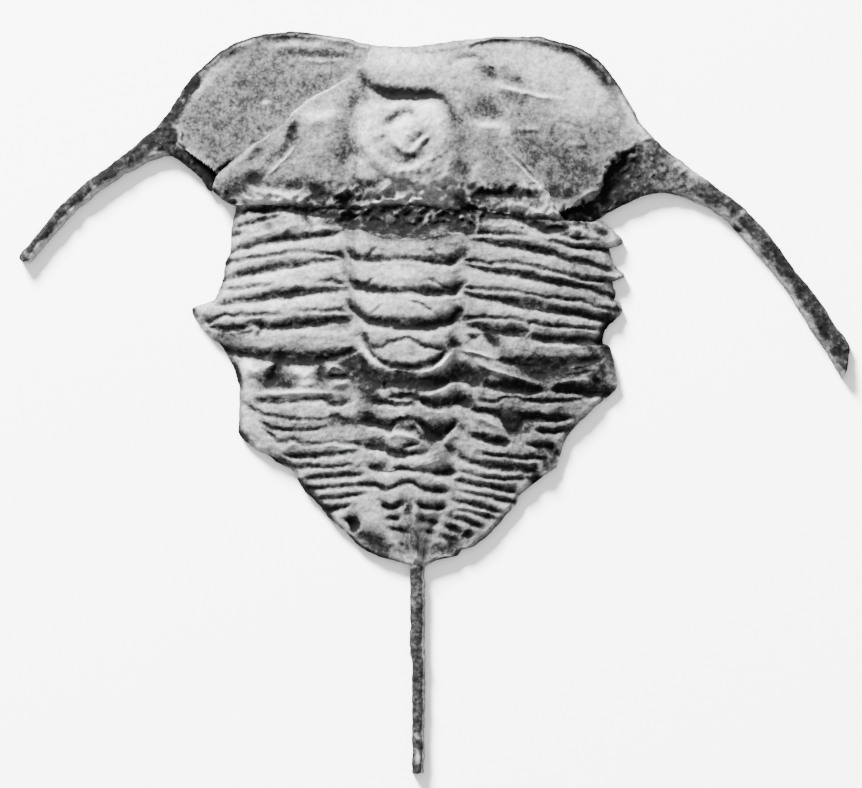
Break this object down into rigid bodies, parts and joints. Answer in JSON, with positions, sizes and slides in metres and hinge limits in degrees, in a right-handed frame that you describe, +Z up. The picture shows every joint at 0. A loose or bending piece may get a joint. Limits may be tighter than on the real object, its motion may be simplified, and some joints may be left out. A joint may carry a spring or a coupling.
{
  "type": "fossil trilobite",
  "caption": "Flat-lying fossil trilobite in grey stone: broad head shield with curved cheek spines, ribbed thorax with raised axis, rounded tail plate ending in a straight spine.",
  "frame": {"origin": "on the resting plane, under the axis of the fourth thoracic segment", "axes": "+Y towards the head, +X towards the animal's right, +Z up out of the shell's back"},
  "size_m": [0.0597, 0.0532, 0.0047],
  "materials": {
    "stone": null
  },
  "bodies": {
    "root": {"cranidium": "stone", "left_free_cheek": "stone", "right_free_cheek": "stone", "thoracic_segment_1": "stone", "thoracic_segment_2": "stone", "thoracic_segment_3": "stone", "thoracic_segment_4": "stone", "thoracic_segment_5": "stone", "thoracic_segment_6": "stone", "thoracic_segment_7": "stone", "thoracic_segment_8": "stone", "thoracic_segment_9": "stone", "pygidium": "stone"}
  },
  "joints": []
}
